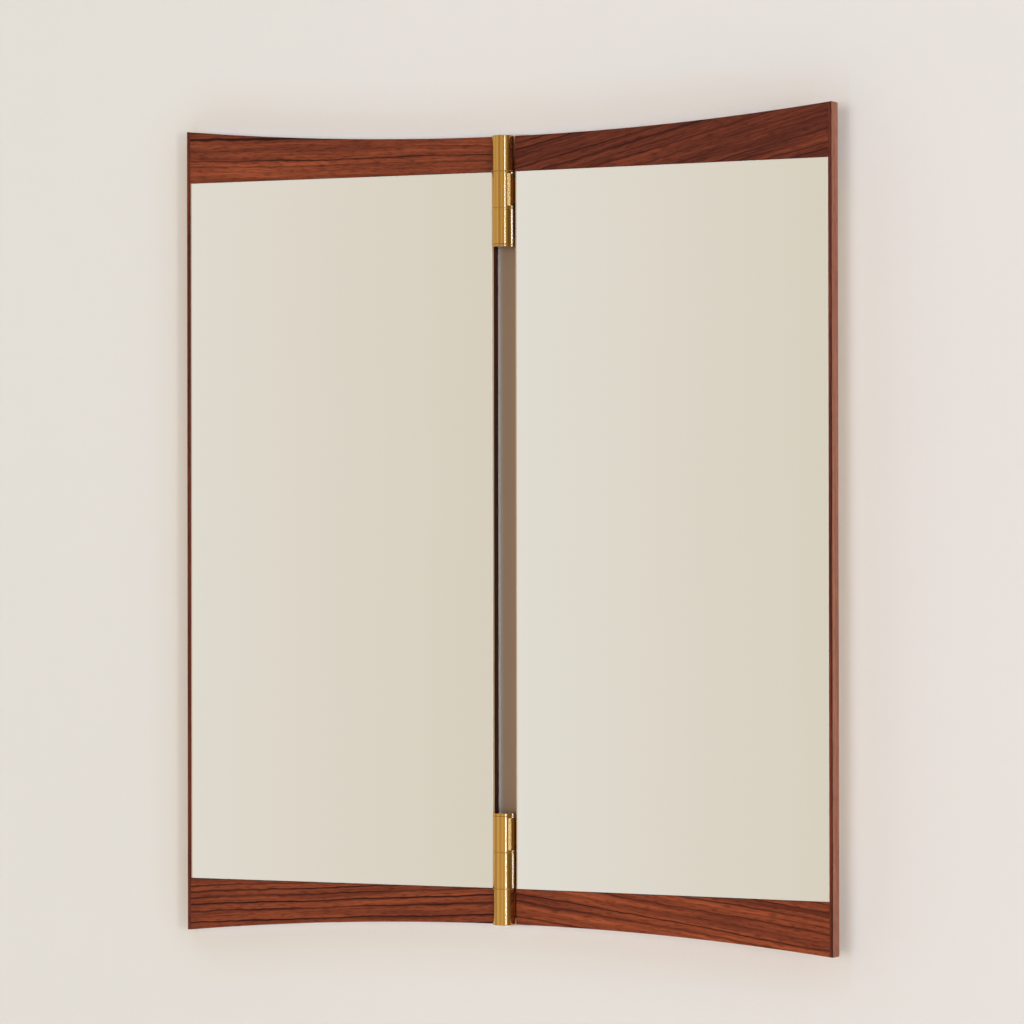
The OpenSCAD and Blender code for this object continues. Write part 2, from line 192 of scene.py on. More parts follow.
# %% [markdown]
# ## Tools for the materials
# A colour is written as sRGB hex, as a paint chart gives it, and turned to the linear
# numbers that Cycles works in. A material is easiest to read when each node is one line, so
# one function adds any node, sets it up, fills its sockets and gives back its output. Many
# nodes hide the sockets that their settings don't use. So the values are given by name, or
# in the order of the sockets that are in use.

# %% Colour and node helpers
COLOURS = {"data_type": "RGBA"}
TINT = {"data_type": "RGBA", "blend_type": "MULTIPLY"}


def mm(*sizes):
    """Sizes in millimetres, turned to metres."""
    return [size * MM for size in sizes]


def colour(text):
    """Linear RGBA of an sRGB hex colour such as #7b432c."""
    channels = [int(text[i:i + 2], 16) / 255 for i in (1, 3, 5)]
    linear = [c / 12.92 if c <= 0.04045 else ((c + 0.055) / 1.055) ** 2.4 for c in channels]
    return (*linear, 1.0)


def fill(socket, value):
    """Links a socket to the output of another node, or gives it a plain value or a hex colour."""
    if isinstance(value, bpy.types.NodeSocket):
        socket.id_data.links.new(value, socket)
    else:
        socket.default_value = colour(value) if isinstance(value, str) else value


def feed(made, **values):
    """Fills a node's sockets by name; base_color stands for Base Color."""
    for key, value in values.items():
        fill(made.inputs[key.replace("_", " ").title().replace("Ior", "IOR")], value)


def node(tree, kind, inputs=(), out=None, stops=(), **settings):
    """Adds a node and gives back its output out, or its first one in use.

    inputs holds values or other nodes' outputs, by name or in the order of the sockets in
    use. stops are the places and tones of a colour ramp."""
    made = tree.nodes.new("ShaderNode" + kind)
    for key, value in settings.items():
        setattr(made, key, value)
    if isinstance(inputs, dict):
        feed(made, **inputs)
    else:
        for socket, value in zip([socket for socket in made.inputs if socket.enabled], inputs):
            fill(socket, value)
    if stops:
        ramp = made.color_ramp.elements
        while len(ramp) < len(stops):
            ramp.new(0.5)
        for element, (place, value) in zip(ramp, stops):
            element.position = place
            element.color = colour(value) if isinstance(value, str) else (value, value, value, 1)
    return made.outputs[out] if out else next(socket for socket in made.outputs if socket.enabled)


def new_material(name, **values):
    """A material with only a Principled shader: returns it with its tree and its shader."""
    material = bpy.data.materials.new(name)
    material.use_nodes = True
    tree = material.node_tree
    shader = tree.nodes["Principled BSDF"]
    feed(shader, **values)
    return material, tree, shader


def local_place(tree, centre=(0, 0, 0), turn=(0, 0, 0)):
    """Object coordinates measured from centre, along axes that are turned by turn, in metres."""
    place = node(tree, "TexCoord", out="Object")
    return node(tree, "Mapping", (place, centre, turn), vector_type="TEXTURE")


def grain(tree, place, size, detail=2.0, roughness=0.5):
    """Noise whose blotches are size long in x, y and z, in metres."""
    scaled = node(tree, "Mapping", {"Vector": place, "Scale": [1 / s for s in size]})
    return node(tree, "TexNoise", {"Vector": scaled, "Scale": 1.0, "Detail": detail, "Roughness": roughness})


print("Helpers for materials are ready")

# %% [markdown]
# ## Walnut
# The frames are American black walnut, planed, sanded and oiled, so the surface is satin and
# the colour deep. What the eye reads are three things on top of each other: growth rings that
# run along the board as thin dark lines a few millimetres apart, soft lighter and darker
# stripes, and open pores, which show as short dark dashes. Real pores are 0.3 mm wide, and
# are drawn here about 1.5 mm wide, because the render's pixels are 1 mm. A ring is
# a sawtooth: it darkens slowly and then stops at once. The sawtooth is read across the board
# at a place that noise shifts, slowly and then in small steps, so that the lines wander and
# tremble. Each ring has a strength of its own, and fades in and out along the board. An edge
# that faces up is darkened with painted shade, for the weaker light from above.

# %% Walnut for one board
RING_SLANT = 0.45
PORE_DEPTH = 0.12 * MM


def ring_lines(tree, place, across, ring, lines):
    """How much of a dark growth ring shows at each place."""
    uneven = node(tree, "TexNoise", {"W": across, "Scale": 0.055 / MM, "Detail": 1.0}, noise_dimensions="1D")
    spread = node(tree, "Math", (uneven, 1.6), operation="MULTIPLY")
    ring_count = node(tree, "Math", (across, 1 / ring, spread), operation="MULTIPLY_ADD")
    through_ring = node(tree, "Math", (ring_count,), operation="FRACT")
    ring_number = node(tree, "Math", (ring_count,), operation="FLOOR")
    late_wood = node(tree, "ValToRGB", (through_ring,),
                     stops=[(0.0, 0.5), (0.1, 0.0), (0.6, 0.05), (0.78, 0.3), (0.9, 1.0), (1.0, 1.0)])
    chance = node(tree, "TexWhiteNoise", (ring_number,), noise_dimensions="1D")
    strength = node(tree, "Math", (chance, 0.75, 0.1), operation="MULTIPLY_ADD")
    drift = grain(tree, place, mm(90, 9, 9), detail=1.0)
    fading = node(tree, "Math", (drift, 1.6, 0.2), operation="MULTIPLY_ADD")
    amount = late_wood
    for factor in (strength, fading, lines):
        amount = node(tree, "Math", (amount, factor), operation="MULTIPLY")
    return amount


def walnut(name, centre, turn, ring=6.5 * MM, sweep=9 * MM, light="#9d4c2a", dark="#612816",
           line="#2e0d05", lines=1.2):
    """Walnut with its rings ring apart, and lines that wander by sweep."""
    material, tree, shader = new_material(name, roughness=0.46, ior=1.45, specular_ior_level=0.15)
    place = local_place(tree, centre, turn)
    parts = node(tree, "SeparateXYZ", (place,)).node.outputs
    across = node(tree, "Math", (parts["Y"], RING_SLANT, parts["Z"]), operation="MULTIPLY_ADD")
    for size, shift, detail in ((mm(230, 60, 60), sweep, 1.0), (mm(40, 14, 14), 2.2 * MM, 2.0),
                                (mm(14, 6, 6), 1.6 * MM, 1.0)):
        wander = grain(tree, place, size, detail)
        across = node(tree, "Math", (wander, shift, across), operation="MULTIPLY_ADD")

    board_place = node(tree, "CombineXYZ", (parts["X"], parts["Y"], across))
    stripes = grain(tree, board_place, mm(260, 30, 8), detail=4.0, roughness=0.65)
    stripe_tone = node(tree, "ValToRGB", (stripes,), stops=[(0.32, 0.0), (0.68, 1.0)])
    wood = node(tree, "Mix", (stripe_tone, dark, light), **COLOURS)
    fibres = grain(tree, board_place, mm(60, 2.6, 2.0), detail=3.0, roughness=0.65)
    fibre_tone = node(tree, "ValToRGB", (fibres,), stops=[(0.3, 0.72), (0.7, 1.26)])
    wood = node(tree, "Mix", (0.7, wood, fibre_tone), **TINT)
    wood = node(tree, "Mix", (ring_lines(tree, place, across, ring, lines), wood, line), **COLOURS)

    dashes = grain(tree, board_place, mm(12, 1.6, 1.3), detail=1.0)
    pores = node(tree, "ValToRGB", (dashes,), stops=[(0.52, 0.0), (0.64, 1.0)])
    pore_amount = node(tree, "Math", (pores, 0.42), operation="MULTIPLY")
    wood = node(tree, "Mix", (pore_amount, wood, line), **COLOURS)
    # Painted shade: faces that point up are darkened.
    facing_up = node(tree, "SeparateXYZ", (node(tree, "NewGeometry", out="Normal"),), out="Z")
    painted_top_shade = node(tree, "ValToRGB", (facing_up,), stops=[(0.15, 1.0), (0.5, 0.4)])
    wood = node(tree, "Mix", (1.0, wood, painted_top_shade), **TINT)

    oil = node(tree, "MapRange", {"Value": fibres, "To Min": 0.4, "To Max": 0.55})
    relief = node(tree, "Math", (pores, -0.7, fibres), operation="MULTIPLY_ADD")
    bump = node(tree, "Bump", {"Height": relief, "Strength": 0.35, "Distance": PORE_DEPTH})
    feed(shader, base_color=wood, roughness=oil, normal=bump)
    return material


print("Walnut is ready to be cut into boards")

# %% [markdown]
# Each board gets its own cut: the place in the log where its pattern starts, as a distance
# from the hinge axis and a height, the slope of its grain in degrees, how wide its rings are
# and how much its lines wander. A stile's grain runs up. The outer stiles are deeper in tone.
# The inner ones lie in shade, which is painted as darker walnut, and the side of an outer stile
# is painted paler, a painted sheen for the light it catches at a grazing angle.

# %% Cut the boards
mid_u = (INNER_U + LIP_U) / 2
rail_mid_z = (RAIL_Z + HALF_OUTER) / 2
UPRIGHT = 90
DEEP = {"light": "#7f3a23", "dark": "#481c10"}
# Painted shade: darker walnut for the inner stiles.
SHADED = {"light": "#5e2917", "dark": "#34160c", "ring": 9 * MM}
# Painted sheen: paler walnut for the sides of the outer stiles.
PAINTED_SHEEN_SIDE = {"light": "#ba7b5f", "dark": "#985a43", "line": "#6e3c2c", "ring": 5 * MM, "lines": 0.4}
OUTER = {"ring": 4 * MM, "sweep": 6 * MM, **DEEP}
cuts = {
    "fixed_top_rail": (mid_u, rail_mid_z + 2 * MM, 1, {"ring": 9 * MM, "sweep": 14 * MM, "lines": 1.6}),
    "fixed_bottom_rail": (mid_u - 0.4, -rail_mid_z, -3, {"ring": 6 * MM, "lines": 1.5}),
    "swing_top_rail": (mid_u, rail_mid_z, -13, {"ring": 6 * MM, **DEEP}),
    "swing_bottom_rail": (mid_u + 0.8, -rail_mid_z, 7, {"light": "#a6502c", "ring": 7 * MM, "lines": 1.3}),
    "fixed_outer_stile": (LIP_U, 0, UPRIGHT, OUTER),
    "swing_outer_stile": (LIP_U, 0.3, UPRIGHT, OUTER),
    "fixed_inner_stile": (BOARD_U, 0.1, UPRIGHT, SHADED),
    "swing_inner_stile": (BOARD_U, -0.2, UPRIGHT, SHADED),
    "fixed_side": (OUTER_U, 0.2, UPRIGHT, PAINTED_SHEEN_SIDE),
    "swing_side": (OUTER_U, -0.1, UPRIGHT, PAINTED_SHEEN_SIDE),
}
boards = {}
for name, (u, z, slope, cut) in cuts.items():
    leaf = name.split("_")[0]
    turn = (0, math.radians(slope), LEAF_TURN[leaf])
    boards[name] = walnut("walnut_" + name, LEAF_PLACE[leaf] @ Vector((u, 0, z)), turn, **cut)
print("Walnut for", len(boards), "boards and sides")

# %% [markdown]
# ## Brass
# The barrels are solid yellow brass, turned, brushed along their length, lightly polished
# and given a thin clear lacquer. The brush leaves fine lines that run up and down, so a
# reflection is drawn out sideways into thin upright streaks, and the lacquer lays a smooth
# one over it. The lines are noise that is fine round the barrel and stretched along Z, used
# for the tone and, as bump, for the direction of the reflection. A brush line is 0.1 mm wide
# in truth, and is drawn here at about 1 mm.

# %% Brass
BRUSH_DEPTH = 0.01 * MM


def brushed_brass(name, base="#b98629", rough=0.13, streak=0.9 * MM):
    material, tree, shader = new_material(name, metallic=1.0, coat_weight=0.6, coat_roughness=0.06,
                                          coat_ior=1.6)
    place = local_place(tree, (axis_x, axis_y, 0))
    lines = grain(tree, place, (streak, streak, 1200 * MM), detail=3.0, roughness=0.6)
    broad = grain(tree, place, mm(1.3, 1.3, 900), detail=1.0)
    tone = node(tree, "ValToRGB", (lines,), stops=[(0.3, 0.86), (0.7, 1.06)])
    band = node(tree, "ValToRGB", (broad,), stops=[(0.4, 0.0), (0.6, 1.0)])
    metal = node(tree, "Mix", (band, base, "#d7a54a"), **COLOURS)
    metal = node(tree, "Mix", (1.0, metal, tone), **TINT)
    polish = node(tree, "MapRange", {"Value": lines, "To Min": rough - 0.03, "To Max": rough + 0.05})
    bump = node(tree, "Bump", {"Height": lines, "Strength": 0.5, "Distance": BRUSH_DEPTH})
    feed(shader, base_color=metal, roughness=polish, normal=bump)
    return material


brass = brushed_brass("brushed_brass")
brass_screws = brushed_brass("brass_screws", base="#c9984a", rough=0.26, streak=0.5 * MM)
print("Brass for the barrels and the screws")

# %% [markdown]
# ## Mirror glass
# The mirror is 4 mm float glass, silvered at the back. Seen from the front, the silvering is
# all that shows, so the front face is a metal with hardly any roughness and the faint tint
# of the glass. At the left of each mirror the photograph shows a narrow bare margin, where
# the silver stops short of the edge and the warm wood shows through. The cut edge is painted
# warm and bright, paler towards the back, and given a faint glow: painted light for the light
# that travels inside the sheet and comes out there. Its corner, the arris, is ground and
# frosted. The back has a coat of grey paint that protects the silver.

# %% Mirror materials
def silvering():
    material, tree, shader = new_material("silvered_float_glass", metallic=1.0)
    cloud = grain(tree, local_place(tree, (axis_x, front_y, 0)), mm(160, 40, 160), detail=1.0)
    tint = node(tree, "Mix", (cloud, "#f6f6f0", "#f5f5ee"), **COLOURS)
    haze = node(tree, "MapRange", {"Value": cloud, "To Min": 0.004, "To Max": 0.012})
    feed(shader, base_color=tint, roughness=haze)
    return material


def glass_edge():
    material, tree, shader = new_material("polished_glass_edge", roughness=0.12, ior=1.52)
    place = local_place(tree, (axis_x, front_y, 0))
    depth = node(tree, "SeparateXYZ", (place,), out="Y")
    depth = node(tree, "Math", (depth, 0.15 / MM), operation="MULTIPLY")
    streak = grain(tree, place, mm(2, 2, 60))
    depth = node(tree, "Math", (streak, 0.3, depth), operation="MULTIPLY_ADD")
    # Painted light: the edge's tone, paler towards the back, is also its glow.
    painted_glow_tone = node(tree, "ValToRGB", (depth,), stops=[(0.15, "#8f7a58"), (0.4, "#b89c74"), (0.8, "#e6cfa4")])
    feed(shader, base_color=painted_glow_tone, emission_color=painted_glow_tone, emission_strength=0.3)
    return material


def mottled(name, tone, other, size, detail=2.0, frost=0.0, **values):
    """A material whose colour drifts between two tones, with a bump where it is frosted."""
    material, tree, shader = new_material(name, **values)
    spots = grain(tree, local_place(tree), size, detail)
    feed(shader, base_color=node(tree, "Mix", (spots, tone, other), **COLOURS))
    if frost:
        feed(shader, normal=node(tree, "Bump", {"Height": spots, "Strength": 0.2, "Distance": frost}))
    return material


mirror_finishes = [
    silvering(),
    glass_edge(),
    mottled("mirror_backing_paint", "#6d7275", "#7c8184", mm(3, 3, 3), detail=3.0, roughness=0.6),
    mottled("ground_arris", "#efebdf", "#faf7ee", mm(0.8, 0.8, 0.8), frost=0.02 * MM, roughness=0.5,
            ior=1.52),
    mottled("bare_glass_margin", "#b08c66", "#c9a67c", mm(2, 2, 40), roughness=0.1, ior=1.52),
]
SILVER, CUT_EDGE, PAINT, GROUND, BARE = range(len(mirror_finishes))
print("Mirror materials:", [material.name for material in mirror_finishes])

# %% [markdown]
# ## The plain materials behind
# The backboard is birch plywood with a sanded face: pale, with a fine straight figure. The
# wall rails and hangers are extruded aluminium, satin anodised, with faint die lines along
# their length. The hangers' screws are zinc plated, the bumpers are moulded rubber, the
# tape is foam and the dowels are beech.

# %% Plywood, beech, aluminium, zinc, rubber and foam
GLOSS_DRIFT = 0.06


def striped(name, pale, deep, size, turn=(0, 0, 0), depth=0.05 * MM, **values):
    """A material with one noise, which is size long each way, for its tone, its gloss and its bump."""
    material, tree, shader = new_material(name, **values)
    figure = grain(tree, local_place(tree, turn=turn), size, detail=4.0, roughness=0.6)
    tone = node(tree, "ValToRGB", (figure,), stops=[(0.3, deep), (0.7, pale)])
    low, high = values["roughness"] - GLOSS_DRIFT, values["roughness"] + GLOSS_DRIFT
    gloss = node(tree, "MapRange", {"Value": figure, "To Min": low, "To Max": high})
    bump = node(tree, "Bump", {"Height": figure, "Strength": 0.4, "Distance": depth})
    feed(shader, base_color=tone, roughness=gloss, normal=bump)
    return material


plywood = {"fixed": striped("birch_plywood", "#d3b583", "#b08e5c", mm(1.6, 4, 60), roughness=0.55),
           "swing": striped("birch_plywood_swing", "#d3b583", "#b08e5c", mm(1.6, 4, 60),
                            turn=(0, 0, SWING_TURN), roughness=0.55)}
beech = striped("beech_dowel", "#d9b98c", "#bd9565", mm(0.8, 0.8, 14), roughness=0.6)
aluminium = striped("anodised_aluminium", "#c4c6c8", "#a9acaf", mm(120, 0.7, 0.7), depth=0.01 * MM,
                    metallic=1.0, roughness=0.34)
zinc = striped("zinc_plated_steel", "#bfc1c0", "#8f9494", mm(1.5, 1.5, 1.5), depth=0.01 * MM,
               metallic=1.0, roughness=0.3)
rubber = striped("moulded_rubber", "#2d2d2f", "#1f1f21", mm(0.5, 0.5, 0.5), roughness=0.7)
foam_tape = striped("foam_tape", "#77787a", "#5d5e60", mm(0.8, 0.8, 0.8), roughness=0.85)
print("Plain materials are ready")

# %% [markdown]
# ## Tools for modelling
# A primitive is added at its size and place, then shaped in edit mode. An operator acts on
# whatever is selected, so everything is deselected first, and the faces or edges that it
# should touch are picked in code by where they are.

# %% Modelling helpers
def deselect():
    bpy.ops.object.select_all(action="DESELECT")


def activate(piece):
    deselect()
    piece.select_set(True)
    bpy.context.view_layer.objects.active = piece
    return piece


def apply_place(piece):
    activate(piece)
    bpy.ops.object.transform_apply(location=True, rotation=True, scale=True)
    return piece


def add_box(name, low, high):
    """A cube primitive from corner low to corner high."""
    deselect()
    low, high = Vector(low), Vector(high)
    bpy.ops.mesh.primitive_cube_add(size=1, location=(low + high) / 2, scale=high - low)
    piece = bpy.context.object
    piece.name = name
    return apply_place(piece)


def add_rod(name, radius, low, high, sides=128, axis="Z", end_radius=None):
    """A round primitive from point low to point high, which lie along axis."""
    deselect()
    low, high = Vector(low), Vector(high)
    lean = {"Z": (0, 0, 0), "X": (0, math.radians(90), 0)}[axis]
    bpy.ops.mesh.primitive_cone_add(vertices=sides, radius1=radius, radius2=end_radius or radius,
                                    depth=(high - low).length, location=(low + high) / 2, rotation=lean)
    piece = bpy.context.object
    piece.name = name
    return apply_place(piece)


def pick(piece, kind, test):
    """In edit mode, selects the verts, edges or faces whose middle passes the test, and nothing else."""
    mesh = bmesh.from_edit_mesh(piece.data)
    bpy.context.tool_settings.mesh_select_mode = (kind == "verts", kind == "edges", kind == "faces")
    for items in (mesh.verts, mesh.edges, mesh.faces):
        for item in items:
            item.select = False
    for item in getattr(mesh, kind):
        if kind == "verts":
            chosen = test(item.co)
        elif kind == "edges":
            a, b = (v.co for v in item.verts)
            chosen = test((a + b) / 2, b - a)
        else:
            chosen = test(item.calc_center_median(), item.normal)
        if chosen:
            item.select_set(True)
    mesh.select_flush_mode()
    bmesh.update_edit_mesh(piece.data)


def near(a, b, slack=0.01 * MM):
    return abs(a - b) < slack


def shaped(piece, step):
    """Runs step in edit mode."""
    activate(piece)
    bpy.ops.object.mode_set(mode="EDIT")
    step()
    bpy.ops.object.mode_set(mode="OBJECT")
    return piece


def ease_edges(piece, width, segments=3, sharper_than=30):
    """Rounds every sharp edge, as a sanding block does."""
    def step():
        bpy.context.tool_settings.mesh_select_mode = (False, True, False)
        bpy.ops.mesh.select_all(action="DESELECT")
        bpy.ops.mesh.edges_select_sharp(sharpness=math.radians(sharper_than))
        bpy.ops.mesh.bevel(offset=width, segments=segments, affect="EDGES")
    return shaped(piece, step)


def copy_of(piece, name):
    made = piece.copy()
    made.data = piece.data.copy()
    bpy.context.scene.collection.objects.link(made)
    made.name = name
    return made


def combine(piece, tool, operation):
    """Adds tool to piece or cuts it out, and removes tool."""
    activate(piece)
    cut = piece.modifiers.new("combine", "BOOLEAN")
    cut.object = tool
    cut.operation = operation
    cut.solver = "EXACT"
    bpy.ops.object.modifier_apply(modifier=cut.name)
    bpy.data.objects.remove(tool)
    return piece


def outwards(piece):
    """Merges doubles and turns all faces outwards."""
    def step():
        bpy.ops.mesh.select_all(action="SELECT")
        bpy.ops.mesh.remove_doubles(threshold=0.001 * MM)
        bpy.ops.mesh.normals_make_consistent(inside=False)
    return shaped(piece, step)


print("Helpers for modelling are ready")

# %% [markdown]
# ## Setting a piece on its leaf
# A piece is modelled once and set in place on both leaves, and a lower piece is the upper
# one turned over in height. Once a piece is in place, its faces are turned outwards again,
# since a mirrored mesh is inside out, and its normals are weighted by area, so that flats
# look flat and the eased edges round. Then it takes over from its CAD node: it rides on the
# same body and stands for it.

# %% Place a piece and hand it over
TURNED_OVER = Matrix.Scale(-1, 4, (0, 0, 1))
bodies = frame["record"]["behaviour"]["bodies"]
slots = {row["node"]: row["material_slot"] for row in frame["record"]["subparts"]}


def hand_over(piece, cad_node, leaf, finishes, lower=False, smooth=True):
    """Sets a piece made in leaf coordinates in its place, finishes it and lets it stand for its CAD node."""
    piece.data.transform(LEAF_PLACE[leaf] @ (TURNED_OVER if lower else Matrix.Identity(4)))
    outwards(piece)
    activate(piece)
    if smooth:
        bpy.ops.object.shade_smooth_by_angle(angle=math.radians(40))
        weighted = piece.modifiers.new("weighted", "WEIGHTED_NORMAL")
        weighted.keep_sharp = True
        bpy.ops.object.modifier_apply(modifier=weighted.name)
    for material in finishes:
        piece.data.materials.append(material)
    piece.name = cad_node + "_" + slots[cad_node]
    piece.data.name = piece.name
    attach(piece, next(body for body, members in bodies.items() if cad_node in members))
    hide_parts(cad_node)
    print(piece.name, "has", len(piece.data.polygons), "faces")
    return piece


# %% [markdown]
# ## The rails
# A rail is a plain board whose top edge is sawn to the arc. It could be a box cut with a huge
# cylinder, but then the arc would be only as fine as that cylinder. Here the end of the
# board is extruded along its length in short steps, and after each step the top edge is
# lifted to the arc, so the mesh runs cleanly along the grain. The plate of the hinge is let
# into the rail's end, so a pocket is cut after the edges are eased: a sharp pocket in a
# softened board, which is how it is made in wood.

# %% Model one rail
EASED = 0.35 * MM
RAIL_STEPS = 36
FIT = 0.1 * MM
BEYOND = 1 * MM


def plate_pocket():
    """The tool that cuts the pocket of a hinge plate; it reaches beyond the board's end."""
    return add_box("pocket", (INNER_U - BEYOND, PLATE_V - FIT, PLATE_BOTTOM - FIT),
                   (INNER_U + PLATE_T + FIT, PLATE_BACK_V + FIT, PLATE_TOP + FIT))


def model_rail():
    stride = (LIP_U - INNER_U) / RAIL_STEPS
    rail = add_box("rail", (INNER_U, 0, RAIL_Z), (INNER_U + stride, LEAF_T, HALF_INNER))

    def lift(u):
        pick(rail, "verts", lambda co: near(co.x, u) and co.z > RAIL_Z + 1 * MM)
        middle = next(v.co.z for v in bmesh.from_edit_mesh(rail.data).verts if v.select)
        bpy.ops.transform.translate(value=(0, 0, edge_z(u) - middle))

    def step():
        lift(INNER_U + stride)
        for i in range(1, RAIL_STEPS):
            u = INNER_U + i * stride
            pick(rail, "faces", lambda co, normal: near(co.x, u) and normal.x > 0.9)
            bpy.ops.mesh.extrude_region_move(TRANSFORM_OT_translate={"value": (stride, 0, 0)})
            lift(u + stride)
    shaped(rail, step)
    ease_edges(rail, EASED)
    return combine(rail, plate_pocket(), "DIFFERENCE")


rail = model_rail()
for leaf in ("fixed", "swing"):
    for end, lower in (("top", False), ("bottom", True)):
        name = f"{leaf}_{end}_rail"
        hand_over(copy_of(rail, name), name, leaf, [boards[name]], lower)
bpy.data.objects.remove(rail)

# %% [markdown]
# ## The stiles
# The outer stile is a strip only 3.6 mm wide, glued over the ends of the rails for the full
# height, so its own ends carry on the arc. Its two back corners are rounded more than its
# front edges, which shows in the outline of its side. The inner stile lies behind the glass
# at the hinge side, and the hinge plates are let into its edge.

# %% Model the stiles
CORNER_R = 1.4 * MM


def model_outer_stile():
    stile = add_box("outer_stile", (LIP_U, 0, -HALF_OUTER), (OUTER_U, LEAF_T, HALF_OUTER))

    def back_corner(middle, along):
        return near(middle.y, LEAF_T) and abs(along.z) < 1 * MM and abs(along.x) > 1 * MM

    def step():
        for side in (-1, 1):
            pick(stile, "verts", lambda co: near(co.x, LIP_U) and co.z * side > 0)
            bpy.ops.transform.translate(value=(0, 0, side * (edge_z(LIP_U) - HALF_OUTER)))
        pick(stile, "edges", back_corner)
        bpy.ops.mesh.bevel(offset=CORNER_R, segments=5, affect="EDGES")
    shaped(stile, step)
    return ease_edges(stile, EASED)


def model_inner_stile():
    stile = add_box("inner_stile", (INNER_U, CORE_V, -RAIL_Z), (BOARD_U, LEAF_T, RAIL_Z))
    ease_edges(stile, EASED)
    combine(stile, plate_pocket(), "DIFFERENCE")
    pocket = plate_pocket()
    pocket.data.transform(TURNED_OVER)
    outwards(pocket)
    return combine(stile, pocket, "DIFFERENCE")


for model, name in ((model_outer_stile, "outer_stile"), (model_inner_stile, "inner_stile")):
    stile = model()
    for leaf in ("fixed", "swing"):
        cad_node = f"{leaf}_{name}"
        finishes = [boards[cad_node], boards[leaf + "_side"]]
        made = hand_over(copy_of(stile, cad_node), cad_node, leaf, finishes)
        outer_way = LEAF_PLACE[leaf].to_3x3() @ Vector((1, 0, 0))
        for face in made.data.polygons:
            face.material_index = 1 if name == "outer_stile" and face.normal.dot(outer_way) > 0.8 else 0
    bpy.data.objects.remove(stile)

# %% [markdown]
# ## The mirror glass
# A sheet of glass has no sharp edges: a wheel grinds a narrow flat, the arris, along each
# one, and it catches the light as a fine pale line round the mirror. So the front edges are
# bevelled flat, with one segment. The sheet is cut 1.3 mm inside both upright edges, and the
# part at the left of each mirror stays bare. The faces are told apart by where they point:
# silver or bare glass for the front, the ground finish for the arris, glass for the cut
# edge, and paint for the back.

# %% Model the mirrors
ARRIS = 0.4 * MM
MARGIN = 1.3 * MM


def mirror_finish(face, margin_x):
    """The place in mirror_finishes of what a face shows."""
    toward = face.normal.y
    if toward > 0.95:
        return PAINT
    if toward > -0.4:
        return CUT_EDGE
    if toward > -0.95:
        return GROUND
    return BARE if face.center.x < margin_x else SILVER


def model_mirror():
    glass = add_box("mirror", (INNER_U, GLASS_FRONT_V, -HALF_GLASS), (GLASS_END_U, GLASS_BACK_V, HALF_GLASS))

    def step():
        pick(glass, "edges", lambda co, along: near(co.y, GLASS_FRONT_V))
        bpy.ops.mesh.bevel(offset=ARRIS, segments=1, affect="EDGES")
        pick(glass, "edges", lambda co, along: near(co.y, GLASS_BACK_V))
        bpy.ops.mesh.bevel(offset=ARRIS / 2, segments=1, affect="EDGES")
        for u in (INNER_U + MARGIN, GLASS_END_U - MARGIN):
            bpy.ops.mesh.select_all(action="SELECT")
            bpy.ops.mesh.bisect(plane_co=(u, 0, 0), plane_no=(1, 0, 0))
    return shaped(glass, step)


mirror = model_mirror()
for leaf in ("fixed", "swing"):
    cad_node = leaf + "_mirror_glass"
    sheet = hand_over(copy_of(mirror, cad_node), cad_node, leaf, mirror_finishes, smooth=False)
    margin_x = {"fixed": axis_x - GLASS_END_U + MARGIN, "swing": axis_x + INNER_U + MARGIN}[leaf]
    for face in sheet.data.polygons:
        face.material_index = mirror_finish(face, margin_x)
bpy.data.objects.remove(mirror)

# %% [markdown]
# ## The backboards
# A panel of plywood fills the frame behind the glass. It lies a little below the frame's back
# face, and its edges are eased so that it drops in.

# %% Model the backboards
board = add_box("board", (BOARD_U, CORE_V, -RAIL_Z), (LIP_U, BOARD_BACK_V, RAIL_Z))
ease_edges(board, 0.5 * MM, segments=2)
for leaf, finish in plywood.items():
    hand_over(copy_of(board, leaf), leaf + "_backboard", leaf, [finish])
bpy.data.objects.remove(board)

# %% [markdown]
# ## The hinges
# A hinge is two brass leaves on one pin. Each knuckle is a turned tube with its ends lightly
# chamfered. It is made as a lathe makes it: the outline of its wall is drawn in one plane
# and spun about the axis. The knuckles beside the glass are milled flat on that side, with
# round corners where the cutter ran out. A neck joins each knuckle to the plate that is let
# into the edge of the leaf. All of these are united, since a real hinge leaf is one piece.

# %% Model one knuckle
KNUCKLE_EDGE = 0.4 * MM
SPIN_STEPS = 144
FLAT_CORNER = 1.8 * MM
FLAT_SPARE = 0.1 * MM


